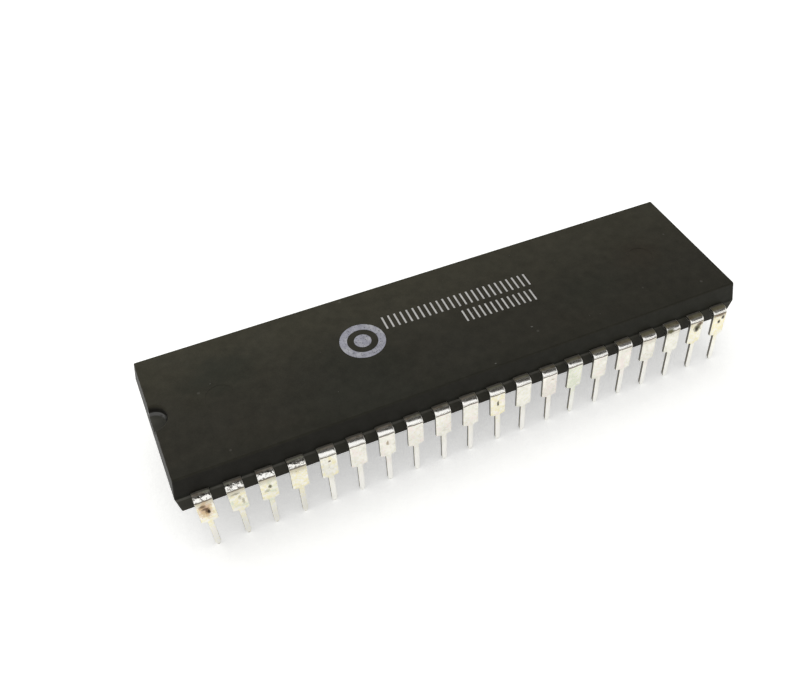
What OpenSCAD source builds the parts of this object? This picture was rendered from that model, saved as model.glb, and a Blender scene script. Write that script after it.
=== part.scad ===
// Dual in-line chip package with forty leads, moulded in black plastic.
// X runs along the package with pin 1 at its low end, Y across it, Z up, and Z = 0 is the plane of the lead tips.
// The near row, at low Y, holds leads 1 to 20 from left to right, and the far row holds the rest from right to left.

/* [Moulded body] */
// Length of the body beyond the middle of the last lead in a row
end_margin = 1.97; // [1.5:0.01:3]
// Height of the body above the parting plane
body_upper_h = 2.05; // [1.7:0.05:2.4]
// Height of the body below the parting plane
body_lower_h = 2.05; // [1.7:0.05:2.4]
// Draft of the side and end walls, in degrees
draft = 7; // [3:0.5:10]
// Rounding of the edges of the top and bottom faces and of the upright corners
edge_r = 0.12; // [0.05:0.01:0.2]
// Height of the upright band that the two mould halves leave where they meet
parting_band = 0.04; // [0.02:0.01:0.08]
// Radius of the half-round notch that marks the end with pin 1
notch_r = 1.25; // [1:0.05:1.8]
// Depth of that notch below the top face
notch_depth = 0.9; // [0.75:0.05:1.2]
// Rounding of the notch's rim
notch_rim_r = 0.25; // [0.1:0.05:0.3]
// Rounding where the notch's wall runs into its floor
notch_foot_r = 0.4; // [0.2:0.05:0.45]
// Distance from each end of the body to the middle of its ejector-pin marks
ejector_inset = 5.9; // [4:0.1:12]
// Radius of the ejector-pin marks
ejector_r = 1.2; // [0.8:0.1:2]
// Depth of the ejector-pin marks in the top face
ejector_top_depth = 0.02; // [0.02:0.01:0.1]
// Depth of the ejector-pin marks in the bottom face
ejector_bottom_depth = 0.12; // [0.05:0.01:0.3]

/* [Leads outside the body] */
// Distance from one lead to the next in a row
pitch = 2.54; // [2.4:0.01:2.8]
// Distance between the two rows, middle to middle, just under the bends
row_spacing = 15.24; // [14.5:0.01:16]
// Length of flat lead between the side of the body and the start of the bend
root_out = 0.34; // [0.25:0.01:0.5]
// Thickness of the lead strip
lead_t = 0.254; // [0.2:0.001:0.3]
// Width of a lead from the body down to its shoulders
lead_w = 1.4; // [1.1:0.05:1.6]
// Width of the slim leg under the shoulders
leg_w = 0.46; // [0.38:0.01:0.56]
// Width of the very tip of a leg
leg_tip_w = 0.22; // [0.15:0.01:0.35]
// Length of the tapered tip
leg_tip_len = 0.35; // [0.2:0.05:0.6]
// Height of the slope from the shoulders to the slim leg
shoulder_taper = 0.12; // [0.05:0.01:0.3]
// Inner radius of the bend
bend_r = 0.25; // [0.2:0.01:0.3]
// Outward lean of each leg from upright, in degrees
splay = 3.1; // [0:0.1:8]
// Length of a leg below its shoulders, which rest on the board
leg_below_seat = 3.25; // [2.9:0.05:4]
// Gap between the board and the underside of the body
standoff = 0.6; // [0.4:0.05:1]

/* [Lead frame inside the body] */
// Length of the paddle that carries the die
paddle_l = 6.6; // [6:0.1:7]
// Gap between the paddle and the ends of the fingers
finger_gap = 0.45; // [0.3:0.05:0.5]
// Distance from one finger end to the next along the paddle's long sides
long_side_pitch = 0.62; // [0.56:0.01:0.66]
// Distance from one finger end to the next along the paddle's short sides
short_side_pitch = 0.55; // [0.5:0.01:0.58]
// Width of a finger where it turns towards the paddle
finger_knee_w = 0.36; // [0.3:0.01:0.38]
// Width of a finger on its straight last stretch
finger_run_w = 0.3; // [0.24:0.01:0.34]
// Width of a finger at its end
finger_end_w = 0.26; // [0.2:0.01:0.3]
// How far a lead keeps its full width inside the body
root_in = 0.55; // [0.4:0.05:0.7]
// Distance from the body's side to the notches that lock a lead in the moulding
lock_in = 0.12; // [0.08:0.01:0.16]
// Depth of a lock notch in either edge of the lead
lock_depth = 0.2; // [0.1:0.01:0.3]
// Length of a lock notch at its bottom
lock_len = 0.16; // [0.1:0.01:0.2]
// Length of the slope at either end of a lock notch
lock_slope = 0.08; // [0.05:0.01:0.1]
// Distance from that wide root to the finger's first turn
root_taper_len = 0.45; // [0.35:0.05:0.5]
// Straight last stretch of the outermost finger on a long side
long_side_run = 0.45; // [0.35:0.05:0.55]
// Extra straight stretch of each next finger towards the middle of a long side
long_side_step_len = 0.38; // [0.34:0.01:0.4]
// Straight last stretch of the outermost finger on a short side
short_side_run = 1.05; // [0.8:0.05:1.3]
// Extra straight stretch of each next finger towards the middle of a short side
short_side_step_len = 0.3; // [0.2:0.05:0.4]
// Width of the tie bars that hold the paddle in the frame
tie_w = 0.5; // [0.4:0.01:0.55]
// Gap between a tie bar and the finger beside it
tie_gap = 0.2; // [0.15:0.01:0.3]
// Length of the slope that lowers a tie bar to the paddle
downset_run = 0.8; // [0.5:0.05:1.2]

/* [Die and bonds] */
// Length of the silicon die along X
die_l = 3.2; // [2.8:0.1:3.8]
// Width of the die along Y
die_w = 3.8; // [3.6:0.1:4.4]
// Thickness of the die
die_t = 0.38; // [0.3:0.01:0.5]
// Thickness of the adhesive under the die
attach_t = 0.05; // [0.03:0.01:0.08]
// How far the adhesive shows round the die
attach_margin = 0.15; // [0.05:0.05:0.3]
// Distance from the edge of the die to the middle of a bond pad
pad_inset = 0.15; // [0.1:0.01:0.2]
// Distance from one pad to the next on the near and far edges of the die
pad_pitch_x = 0.3; // [0.24:0.01:0.31]
// Distance from one pad to the next on the left and right edges of the die
pad_pitch_y = 0.34; // [0.28:0.01:0.36]
// Diameter of the gold wire
wire_d = 0.033; // [0.025:0.001:0.04]
// Height of a wire's loop above the die
loop_h = 0.3; // [0.2:0.01:0.4]
// Radius of the bond at either end of a wire
bond_r_flat = 0.05; // [0.045:0.005:0.06]
// Height of the bond at either end of a wire
bond_h = 0.05; // [0.045:0.001:0.06]
// Distance from the end of a finger to the middle of its bond
bond_inset = 0.22; // [0.15:0.01:0.3]

/* [Hidden] */
leads_per_row = 20;
lead_count = 2 * leads_per_row;
// How far each tip in the near row is bent sideways, in pin order from pin 1
tip_lean = [0.18, 0.18, 0.06, 0, 0.02, -0.02, 0, -0.04, 0, -0.04,
            0.1, -0.02, 0, -0.16, -0.09, -0.12, -0.12, -0.1, -0.06, -0.04];

// Levels above the plane of the lead tips
seat_z = leg_below_seat;
bottom_z = seat_z + standoff;
part_z = bottom_z + body_lower_h;
top_z = part_z + body_upper_h;
frame_top_z = part_z + lead_t / 2;
paddle_top_z = frame_top_z - die_t - attach_t;

// Plan sizes: the standard row spacing sets the width of the body that its leads just clear
bend_y = row_spacing / 2 - (bend_r + lead_t / 2) * cos(splay);
body_w = 2 * (bend_y - root_out);
body_l = (leads_per_row - 1) * pitch + 2 * end_margin;
upper_inset = body_upper_h * tan(draft);
lower_inset = body_lower_h * tan(draft);
ejector_x = body_l / 2 - ejector_inset;
bend_z = part_z - lead_t / 2 - bend_r;
leg_len = (bend_z + bend_r * sin(splay)) / cos(splay);
shoulder_d = (bend_z + (bend_r + lead_t / 2) * sin(splay) - seat_z) / cos(splay);

// A quarter of each row ends on either short side of the paddle, and the middle half on its long side
side_fingers = leads_per_row / 4;
finger_end_x = paddle_l / 2 + finger_gap;
finger_end_y = body_w / 2 - root_in - root_taper_len - side_fingers * long_side_step_len - long_side_run;
paddle_w = 2 * (finger_end_y - finger_gap);
first_side_y = tie_w / 2 + tie_gap + finger_run_w / 2;

corner_fn = 24;
curve_fn = 64;
wire_fn = 6;
bond_fn = 12;
arc_steps = 6;
overlap = 0.01;

lead_nodes = [for (k = [1 : lead_count]) str("lead_", k)];
wire_sides = ["left", "near", "right", "far"];
wire_nodes = [for (side = wire_sides) str("bond_wires_", side)];

// How deep the turns of a lead's outline lie in the body, and its width at each point from the bend to its end
root_depths = [
    lock_in,
    lock_in + lock_slope,
    lock_in + lock_slope + lock_len,
    lock_in + 2 * lock_slope + lock_len,
    root_in,
    root_in + root_taper_len
];
lock_w = lead_w - 2 * lock_depth;
finger_widths = [lead_w, lead_w, lock_w, lock_w, lead_w, lead_w, finger_knee_w, finger_run_w, finger_end_w];

// Place of lead k of the near row along X, and the same in pitches from the middle
function place(k) = k - (leads_per_row + 1) / 2;
function lead_x(k) = place(k) * pitch;
function ends_on_side(k) = k <= side_fingers || k > leads_per_row - side_fingers;
function rank(k) = k <= side_fingers ? k - 1 : leads_per_row - k;

// End of the finger of lead k, measured in the near half
function finger_end(k) = ends_on_side(k)
    ? [sign(place(k)) * finger_end_x, -first_side_y - rank(k) * short_side_pitch]
    : [place(k) * long_side_pitch, -finger_end_y];
function last_run(k) = ends_on_side(k)
    ? [sign(place(k)) * (short_side_run + (side_fingers - 1 - rank(k)) * short_side_step_len), 0]
    : [0, -long_side_run - (side_fingers - 0.5 - abs(place(k))) * long_side_step_len];
function root_y(inside) = -body_w / 2 + inside;
function finger_path(k) = [
    [lead_x(k), -bend_y],
    for (inside = root_depths) [lead_x(k), root_y(inside)],
    finger_end(k) + last_run(k),
    finger_end(k)
];

// Outline of a flat strip that follows a path with a width at each point
function unit(v) = v / norm(v);
function left_of(v) = [-v[1], v[0]];
function mitre(path, i) =
    let (last = len(path) - 1,
         before = left_of(unit(path[max(i, 1)] - path[max(i, 1) - 1])),
         after = left_of(unit(path[min(i + 1, last)] - path[min(i, last - 1)])),
         middle = unit(before + after))
    middle / (middle * after);
function strip(path, widths) = concat(
    [for (i = [0 : len(path) - 1]) path[i] + mitre(path, i) * widths[i] / 2],
    [for (i = [len(path) - 1 : -1 : 0]) path[i] - mitre(path, i) * widths[i] / 2]);

// Front outline of the leg below the bend, as pairs of depth and half width, bent sideways by lean at its tip
leg_profile = [
    [0, lead_w / 2],
    [shoulder_d, lead_w / 2],
    [shoulder_d + shoulder_taper, leg_w / 2],
    [leg_len - leg_tip_len, leg_w / 2],
    [leg_len, leg_tip_w / 2]
];
function leg_outline(lean) = concat(
    [for (p = leg_profile) [lean * p[0] / leg_len + p[1], -p[0]]],
    [for (i = [len(leg_profile) - 1 : -1 : 0])
        [lean * leg_profile[i][0] / leg_len - leg_profile[i][1], -leg_profile[i][0]]]);

// Bond points of lead k of the near row, on the die and on its finger
function pad_point(k) = ends_on_side(k)
    ? [sign(place(k)) * (die_l / 2 - pad_inset), -(rank(k) + 0.5) * pad_pitch_y]
    : [place(k) * pad_pitch_x, -die_w / 2 + pad_inset];
function finger_bond(k) = finger_end(k) + unit(last_run(k)) * bond_inset;

// Half outline of the notch from its axis: a flat floor, a rounded foot, an upright wall and a flared rim
function arc(centre, r, from, to) =
    [for (i = [0 : arc_steps]) let (a = from + (to - from) * i / arc_steps) centre + r * [cos(a), sin(a)]];
notch_outline = concat(
    [[0, 0]],
    arc([notch_r - notch_foot_r, notch_foot_r], notch_foot_r, -90, 0),
    arc([notch_r + notch_rim_r, notch_depth - notch_rim_r], notch_rim_r, 180, 90),
    [[notch_r + notch_rim_r, notch_depth + overlap], [0, notch_depth + overlap]]
);

// Runs a child for the far row, which is the near row turned half round
module in_row(far) rotate([0, 0, far ? 180 : 0]) children();

// One half of the moulding: a drafted block with rounded edges, standing on the parting plane
module half_body(height, inset) {
    corner = [body_l / 2, body_w / 2];
    hull() for (sx = [-1, 1], sy = [-1, 1]) {
        translate([sx * (corner[0] - edge_r), sy * (corner[1] - edge_r), -parting_band / 2])
            cylinder(r = edge_r, h = parting_band, $fn = corner_fn);
        translate([sx * (corner[0] - inset - edge_r), sy * (corner[1] - inset - edge_r), height - edge_r])
            sphere(r = edge_r, $fn = corner_fn);
    }
}

module pin_1_notch()
    translate([-body_l / 2 + upper_inset, 0, top_z - notch_depth])
        rotate_extrude($fn = curve_fn) polygon(notch_outline);

module ejector_marks() {
    for (sx = [-1, 1]) {
        translate([sx * ejector_x, 0, top_z - ejector_top_depth])
            cylinder(r = ejector_r, h = ejector_top_depth + overlap, $fn = curve_fn);
        translate([sx * ejector_x, 0, bottom_z - overlap])
            cylinder(r = ejector_r, h = ejector_bottom_depth + overlap, $fn = curve_fn);
    }
}

// The flat part of a lead: its wide root, which runs out to the bend, and the finger inside the body
module lead_flat(k)
    translate([0, 0, part_z - lead_t / 2])
        linear_extrude(lead_t) polygon(strip(finger_path(k), finger_widths));

module lead_bend(k)
    translate([lead_x(k) - lead_w / 2, -bend_y, bend_z])
        rotate([0, -90, 180])
            rotate_extrude(angle = 90 - splay, $fn = curve_fn)
                translate([bend_r, 0]) square([lead_t, lead_w]);

module lead_leg(k, lean)
    translate([lead_x(k), -bend_y, bend_z])
        rotate([-splay, 0, 0])
            translate([0, -bend_r, 0]) rotate([90, 0, 0])
                linear_extrude(lead_t) polygon(leg_outline(lean));

// Lead number n, one strip from its tip to the end of its finger
module lead(n) {
    far = n > leads_per_row;
    k = far ? n - leads_per_row : n;
    color([0.87, 0.86, 0.8]) in_row(far) union() {
        lead_flat(k);
        lead_bend(k);
        lead_leg(k, far ? 0 : tip_lean[k - 1]);
    }
}

// The paddle hangs lower than the fingers on a tie bar at each end, which is cut flush with the body
module die_paddle() {
    side = [
        [0, paddle_top_z],
        [paddle_l / 2, paddle_top_z],
        [paddle_l / 2 + downset_run, frame_top_z],
        [body_l / 2, frame_top_z],
        [body_l / 2, frame_top_z - lead_t],
        [paddle_l / 2 + downset_run, frame_top_z - lead_t],
        [paddle_l / 2, paddle_top_z - lead_t],
        [0, paddle_top_z - lead_t]
    ];
    color([0.72, 0.5, 0.34]) union() {
        translate([-paddle_l / 2, -paddle_w / 2, paddle_top_z - lead_t]) cube([paddle_l, paddle_w, lead_t]);
        for (turn = [0, 180]) rotate([0, 0, turn])
            translate([0, tie_w / 2, 0]) rotate([90, 0, 0]) linear_extrude(tie_w) polygon(side);
    }
}

module die_attach()
    color([0.75, 0.75, 0.72])
        translate([-die_l / 2 - attach_margin, -die_w / 2 - attach_margin, paddle_top_z])
            cube([die_l + 2 * attach_margin, die_w + 2 * attach_margin, attach_t]);

module die()
    color([0.36, 0.38, 0.46])
        translate([-die_l / 2, -die_w / 2, paddle_top_z + attach_t]) cube([die_l, die_w, die_t]);

// One wire from the die to a finger: an arc that rises from a flat bond at either end
module bond_wire(from, to) {
    chord = norm(to - from);
    radius = (chord * chord / 4 + loop_h * loop_h) / (2 * loop_h);
    half_turn = asin(chord / (2 * radius));
    middle = (from + to) / 2;
    heading = atan2(to[1] - from[1], to[0] - from[0]);
    for (end = [from, to]) translate([end[0], end[1], frame_top_z])
        cylinder(r = bond_r_flat, h = bond_h, $fn = bond_fn);
    translate([middle[0], middle[1], frame_top_z + bond_h / 2 + loop_h - radius])
        rotate([0, 0, heading]) rotate([90, 0, 0]) rotate([0, 0, 90 - half_turn])
            rotate_extrude(angle = 2 * half_turn, $fn = curve_fn)
                translate([radius, 0]) circle(d = wire_d, $fn = wire_fn);
}

// The wires on one side of the die: a long side serves the middle of one row, a short side the ends of both
module bond_wires(side)
    color([0.9, 0.72, 0.3]) union()
        for (k = [1 : leads_per_row], far = [false, true])
            if (wire_side(k, far) == side) in_row(far) bond_wire(pad_point(k), finger_bond(k));

function wire_side(k, far) = !ends_on_side(k) ? (far ? "far" : "near")
    : (place(k) < 0) != far ? "left" : "right";

module body()
    color([0.2, 0.2, 0.18]) difference() {
        union() {
            translate([0, 0, part_z]) half_body(body_upper_h, upper_inset);
            translate([0, 0, part_z]) mirror([0, 0, 1]) half_body(body_lower_h, lower_inset);
        }
        pin_1_notch();
        ejector_marks();
        for (k = [1 : leads_per_row], far = [false, true]) in_row(far) lead_flat(k);
        die_paddle();
        die_attach();
        die();
        for (side = wire_sides) bond_wires(side);
    }

body();
for (n = [1 : lead_count]) lead(n);
die_paddle();
die_attach();
die();
for (side = wire_sides) bond_wires(side);
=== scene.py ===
# %% [markdown]
# A forty-lead chip package, from bare frame to finished surfaces
#
# A dual in-line package is a block of black moulded epoxy with a row of bent metal leads down each
# long side. The frame already holds every solid at its real size and place, so this lesson adds
# what the eye asks for: the finish of each surface, the solder on the leads, the ink on the top
# and some dust. The frame comes first, because later cells measure from it.

import math
import random

import bmesh
import bpy
from mathutils import Euler, Matrix, Vector, noise


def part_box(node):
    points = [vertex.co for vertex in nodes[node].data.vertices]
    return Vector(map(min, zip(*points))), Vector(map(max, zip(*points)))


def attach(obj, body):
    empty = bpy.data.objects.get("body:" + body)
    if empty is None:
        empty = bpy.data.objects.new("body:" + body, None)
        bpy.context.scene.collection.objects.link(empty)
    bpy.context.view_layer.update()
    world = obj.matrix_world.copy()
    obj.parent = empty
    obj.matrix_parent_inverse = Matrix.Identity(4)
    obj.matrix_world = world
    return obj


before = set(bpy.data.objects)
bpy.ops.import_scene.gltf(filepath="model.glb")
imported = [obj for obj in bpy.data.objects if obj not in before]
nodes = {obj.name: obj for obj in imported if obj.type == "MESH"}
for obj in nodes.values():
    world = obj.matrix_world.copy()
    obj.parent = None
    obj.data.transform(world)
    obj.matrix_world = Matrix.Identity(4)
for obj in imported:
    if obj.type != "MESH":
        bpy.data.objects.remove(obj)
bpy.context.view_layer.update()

# %% [markdown]
# Sizes that the finishes need
#
# A finish has to know where things are, such as the plane where the mould halves met and the side
# where a lead leaves the body. Typed in again, such sizes drift away from the model, so they are
# read off the boxes of the nodes. Only the few that a box can't give are written down, in
# millimetres.

# %% Measure the body and the leads
MM = 0.001
LEADS_PER_ROW = 20
LEAD_COUNT = 2 * LEADS_PER_ROW
STRIP_T = 0.254 * MM

_, body_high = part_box("body")
half_length = body_high.x
side_y = body_high.y
top_z = body_high.z
part_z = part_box("lead_1")[1].z - STRIP_T / 2
print("parting plane at", round(part_z / MM, 3), "mm, top face at", round(top_z / MM, 3), "mm")

# %% [markdown]
# Small tools for building node trees
#
# A material in Blender is a tree of nodes. Wired by hand, each link takes a line of its own, and
# the idea of the finish is lost among them. These helpers let one line say what a node is and what
# feeds it, so that the cells further down read like a recipe.

# %% Helpers that add and feed nodes
def feed(socket, value):
    """Links an output to an input, or sets the input to a plain value."""
    if isinstance(value, bpy.types.NodeSocket):
        socket.id_data.links.new(value, socket)
    else:
        socket.default_value = value


def put(kind, inputs, **settings):
    """Adds a node to the tree that its inputs come from, and feeds them by name or by number."""
    tree = next(value.id_data for value in inputs.values() if isinstance(value, bpy.types.NodeSocket))
    node = tree.nodes.new(kind)
    for name, value in settings.items():
        setattr(node, name, value)
    for key, value in inputs.items():
        feed(node.inputs[key], value)
    return node


def rgb(red, green, blue):
    """A colour with full opacity."""
    return (red, green, blue, 1.0)


print("white, as a socket takes it:", rgb(1.0, 1.0, 1.0))

# %% [markdown]
# Most masks are arithmetic on the place of a point: how far it lies from a plane, softened into a
# step, and two such steps multiplied where both must hold. A painted picture could do the same,
# but its pixels show close up. A socket knows the tree that it belongs to, so none of these
# helpers has to be told where to work.

# %% Helpers for masks and noise
def maths(operation, *values):
    """One step of arithmetic on numbers or sockets."""
    return put("ShaderNodeMath", dict(enumerate(values)), operation=operation).outputs[0]


def times(*values):
    """The product of numbers or sockets."""
    product = values[0]
    for value in values[1:]:
        product = maths("MULTIPLY", product, value)
    return product


def minus(first, second):
    """What is left of the first value after the second is taken off."""
    return maths("SUBTRACT", first, second)


def vector_maths(operation, *values):
    """One step of arithmetic on vectors, as a set of two outputs: Vector and Value."""
    return put("ShaderNodeVectorMath", dict(enumerate(values)), operation=operation).outputs


def split(vector):
    """The x, y and z of a vector."""
    return put("ShaderNodeSeparateXYZ", {0: vector}).outputs


def ease(value, start, stop, low=0.0, high=1.0):
    """Turns a value between start and stop into a soft step from low to high."""
    inputs = {0: value, 1: start, 2: stop, 3: low, 4: high}
    return put("ShaderNodeMapRange", inputs, interpolation_type="SMOOTHSTEP").outputs[0]


def tint(amount, first, second, how="MIX"):
    """Mixes two colours by an amount, or combines them in another way."""
    inputs = {0: amount, 6: first, 7: second}
    return put("ShaderNodeMix", inputs, data_type="RGBA", blend_type=how).outputs[2]


def noise_at(place, size, detail=2.0, roughness=0.5, distortion=0.0):
    """Cloudy values between 0 and 1, in clouds of about the given size in metres."""
    waves = 1 / size if isinstance(size, float) else maths("DIVIDE", 1.0, size)
    inputs = {"Vector": place, "Scale": waves, "Detail": detail, "Roughness": roughness,
              "Distortion": distortion}
    return put("ShaderNodeTexNoise", inputs).outputs[0]


def surface_normal(tree):
    """The direction that the surface faces at each point."""
    return tree.nodes.new("ShaderNodeNewGeometry").outputs["Normal"]


print("a cloud 0.1 mm wide means", round(1 / (0.1 * MM)), "waves per metre")

# %% [markdown]
# Shared effects as node groups
#
# Grain, mottling, worn edges, stains and dust turn up on more than one finish. Copied into each
# material they would have to be mended in each, so every one is built once, as a node group with
# named inputs. A group hands back only a colour, a mask or a height, and the shader stays in the
# material, where a viewer outside Blender can still read it.

# %% A helper that starts a group
NUMBER = "NodeSocketFloat"
VECTOR = "NodeSocketVector"
COLOUR = "NodeSocketColor"


def new_group(name, inputs, outputs):
    """Starts a group with a place and more inputs: its tree, its given and its wanted sockets."""
    tree = bpy.data.node_groups.new(name, "ShaderNodeTree")
    for label, kind, start in [("Place", VECTOR, None), *inputs]:
        socket = tree.interface.new_socket(name=label, in_out="INPUT", socket_type=kind)
        if start is not None:
            socket.default_value = start
    for label, kind in outputs:
        tree.interface.new_socket(name=label, in_out="OUTPUT", socket_type=kind)
    given = tree.nodes.new("NodeGroupInput").outputs
    wanted = tree.nodes.new("NodeGroupOutput").inputs
    return tree, given, wanted


print("kinds of socket in the groups:", NUMBER, VECTOR, COLOUR)

# %% [markdown]
# Grain is what a spark-eroded mould or a frosted metal shows: fine bumps, with a slower drift in
# tone under them. Two noises of different size give both. The tone comes out around 1, ready to
# multiply a colour, and the height feeds a bump.

# %% Grain group
def make_grain():
    inputs = [("Size", NUMBER, 0.1 * MM), ("Contrast", NUMBER, 0.3)]
    tree, given, wanted = new_group("Grain", inputs, [("Tone", NUMBER), ("Height", NUMBER)])
    fine = noise_at(given["Place"], given["Size"], detail=3.0, roughness=0.6)
    slow = noise_at(given["Place"], maths("DIVIDE", given["Size"], 0.13))
    both = maths("ADD", fine, slow)
    swing = times(minus(both, 1.0), given["Contrast"])
    feed(wanted["Tone"], maths("ADD", swing, 1.0))
    feed(wanted["Height"], fine)
    return tree


GRAIN = make_grain()
print("nodes in the grain group:", len(GRAIN.nodes))

# %% [markdown]
# Mottling is the cloudy mix of tones in a dipped or oxidised metal. One noise alone looks like
# camouflage, so a second one of another size lays a third colour over the first two.

# %% Mottle group
def make_mottle():
    inputs = [("Size", NUMBER, 0.5 * MM), ("Main", COLOUR, rgb(0.8, 0.8, 0.8)),
              ("Second", COLOUR, rgb(0.6, 0.6, 0.6)), ("Third", COLOUR, rgb(0.7, 0.7, 0.7))]
    tree, given, wanted = new_group("Mottle", inputs, [("Colour", COLOUR), ("Patches", NUMBER)])
    size = given["Size"]
    cloud = noise_at(given["Place"], size, detail=3.0, roughness=0.55, distortion=0.3)
    veil = noise_at(given["Place"], maths("DIVIDE", size, 0.47), detail=3.0)
    patches = ease(cloud, 0.36, 0.66)
    first = tint(patches, given["Main"], given["Second"])
    feed(wanted["Colour"], tint(ease(veil, 0.5, 0.68), first, given["Third"]))
    feed(wanted["Patches"], patches)
    return tree


MOTTLE = make_mottle()
print("nodes in the mottle group:", len(MOTTLE.nodes))

# %% [markdown]
# Worn edges need to know where an edge is. The Bevel node bends the normal close to one, so the
# angle between it and the true normal is a mask of the edges, with no extra geometry and on the
# untouched meshes of the frame. A noise breaks the line up, because wear is patchy.

# %% Edge wear group
def make_edge_wear():
    inputs = [("Radius", NUMBER, 0.1 * MM), ("Patch size", NUMBER, 1 * MM), ("Amount", NUMBER, 0.5)]
    tree, given, wanted = new_group("Edge wear", inputs, [("Mask", NUMBER)])
    bent = put("ShaderNodeBevel", {"Radius": given["Radius"]}, samples=4).outputs[0]
    match = vector_maths("DOT_PRODUCT", bent, surface_normal(tree))["Value"]
    edge = ease(match, 0.995, 0.88)
    patch = noise_at(given["Place"], given["Patch size"], detail=4.0)
    worn = times(edge, ease(patch, 0.38, 0.62, 0.15, 1.0), given["Amount"])
    feed(wanted["Mask"], worn)
    return tree


EDGE_WEAR = make_edge_wear()
print("nodes in the edge wear group:", len(EDGE_WEAR.nodes))

# %% [markdown]
# A stain is a spot with a ragged rim, such as flux that burnt onto a lead or a mark that a finger
# left. It is measured from a centre, stretched along each axis as needed, and a noise pushes its
# rim in and out. One group serves a burnt dot and a wide soft patch.

# %% Stain group
def make_stain():
    inputs = [("Centre", VECTOR, None), ("Reach", VECTOR, (1 * MM,) * 3),
              ("Ragged", NUMBER, 0.5), ("Softness", NUMBER, 0.5)]
    tree, given, wanted = new_group("Stain", inputs, [("Mask", NUMBER)])
    away = vector_maths("SUBTRACT", given["Place"], given["Centre"])["Vector"]
    scaled = vector_maths("DIVIDE", away, given["Reach"])["Vector"]
    length = vector_maths("LENGTH", scaled)["Value"]
    rough = noise_at(scaled, 1 / 1.9, detail=4.0, roughness=0.62)
    push = times(minus(rough, 0.5), given["Ragged"], 3.0)
    reached = maths("ADD", length, push)
    feed(wanted["Mask"], ease(reached, 1.0, minus(1.0, given["Softness"])))
    return tree


STAIN = make_stain()
print("nodes in the stain group:", len(STAIN.nodes))

# %% [markdown]
# Dust lies on what faces up. Its specks are cells of a Voronoi pattern, and only the cells whose
# random colour passes a limit keep theirs, which sets how many there are.

# %% Dust group
def make_dust():
    inputs = [("Size", NUMBER, 0.2 * MM), ("Amount", NUMBER, 0.3)]
    tree, given, wanted = new_group("Dust", inputs, [("Mask", NUMBER)])
    waves = maths("DIVIDE", 1.0, given["Size"])
    cells = put("ShaderNodeTexVoronoi", {"Vector": given["Place"], "Scale": waves}).outputs
    speck = ease(cells["Distance"], 0.24, 0.1)
    chance = put("ShaderNodeSeparateColor", {0: cells["Color"]}).outputs[0]
    kept = maths("LESS_THAN", chance, given["Amount"])
    upward = ease(split(surface_normal(tree))[2], 0.6, 0.95)
    feed(wanted["Mask"], times(speck, kept, upward))
    return tree


DUST = make_dust()
print("node groups:", [group.name for group in bpy.data.node_groups])

# %% [markdown]
# Starting a finish
#
# Every finish begins the same way: a Principled shader, the few values that are the same all over,
# and the place of each point. The nodes of the frame sit at the origin, so the object coordinate
# is the real place in metres, and a pattern keeps its true scale on every piece without
# unwrapping.

# %% Helpers that start a finish and use the groups
def new_finish(name, **plain):
    """Starts a material and gives it, its shader and the place of each point."""
    material = bpy.data.materials.new(name)
    material.use_nodes = True
    tree = material.node_tree
    shader = tree.nodes["Principled BSDF"]
    for label, value in plain.items():
        shader.inputs[label.replace("_", " ")].default_value = value
    place = tree.nodes.new("ShaderNodeTexCoord").outputs["Object"]
    return material, shader, place


def use(group, **inputs):
    """Places a group in a material; an underscore in a name stands for a space."""
    named = {label.replace("_", " "): value for label, value in inputs.items()}
    return put("ShaderNodeGroup", named, node_tree=group).outputs


def paint(shader, colour, roughness):
    """Feeds the two values that every finish has."""
    feed(shader.inputs["Base Color"], colour)
    feed(shader.inputs["Roughness"], roughness)


def bump(shader, height, distance):
    """Feeds the shader's normal from a height, in metres."""
    node = put("ShaderNodeBump", {"Height": height, "Distance": distance, "Strength": 1.0})
    feed(shader.inputs["Normal"], node.outputs[0])


def dappled(place, size, shades, grain_size, contrast):
    """Mottled colours under a grain: the colour, the patches of it and the grain's outputs."""
    main, second, third = shades
    mottle = use(MOTTLE, Place=place, Size=size, Main=main, Second=second, Third=third)
    grain = use(GRAIN, Place=place, Size=grain_size, Contrast=contrast)
    colour = tint(1.0, mottle["Colour"], grain["Tone"], "MULTIPLY")
    return colour, mottle["Patches"], grain


print("finish helpers: new_finish, use, paint, bump, dappled")

# %% [markdown]
# The moulded body
#
# The body is epoxy filled with ground silica and blackened with carbon, pressed in a steel mould
# whose faces were spark-eroded to a fine matt. It isn't pure black: it is a warm dark grey with soft
# patches of other tones, and a painted sheen makes it lighter and browner away from the near leads.
# It is one material on the untouched mesh, with masks worked out from the place of each point,
# because the shape is right and only its skin is missing. The top comes first.

# %% Tones of the top face
COAL = rgb(0.0300, 0.0285, 0.0212)
WARM_COAL = rgb(0.0318, 0.0292, 0.0210)
FAR_SHEEN = rgb(0.0468, 0.0436, 0.0296)
DARKER_END = rgb(0.0225, 0.0210, 0.0150)
RIM_DARK_REFLECTION = rgb(0.0175, 0.0185, 0.0135)
CLOUD_SIZE = 11 * MM
RIM_START = 1.9 * MM
RIM_FULL = 0.9 * MM
PATCH_STRENGTH = 0.6
BODY_PATCHES = [
    (20.2, 0.4, (3.4, 2.6, 1), rgb(0.0320, 0.0265, 0.0180)),
    (-19.5, 2.5, (4.5, 3.0, 1), rgb(0.0250, 0.0272, 0.0195)),
    (-9.0, -3.2, (7, 7, 1), rgb(0.0265, 0.0270, 0.0198)),
    (13.5, -2.0, (5, 3, 1), rgb(0.0280, 0.0280, 0.0198)),
]


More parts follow.
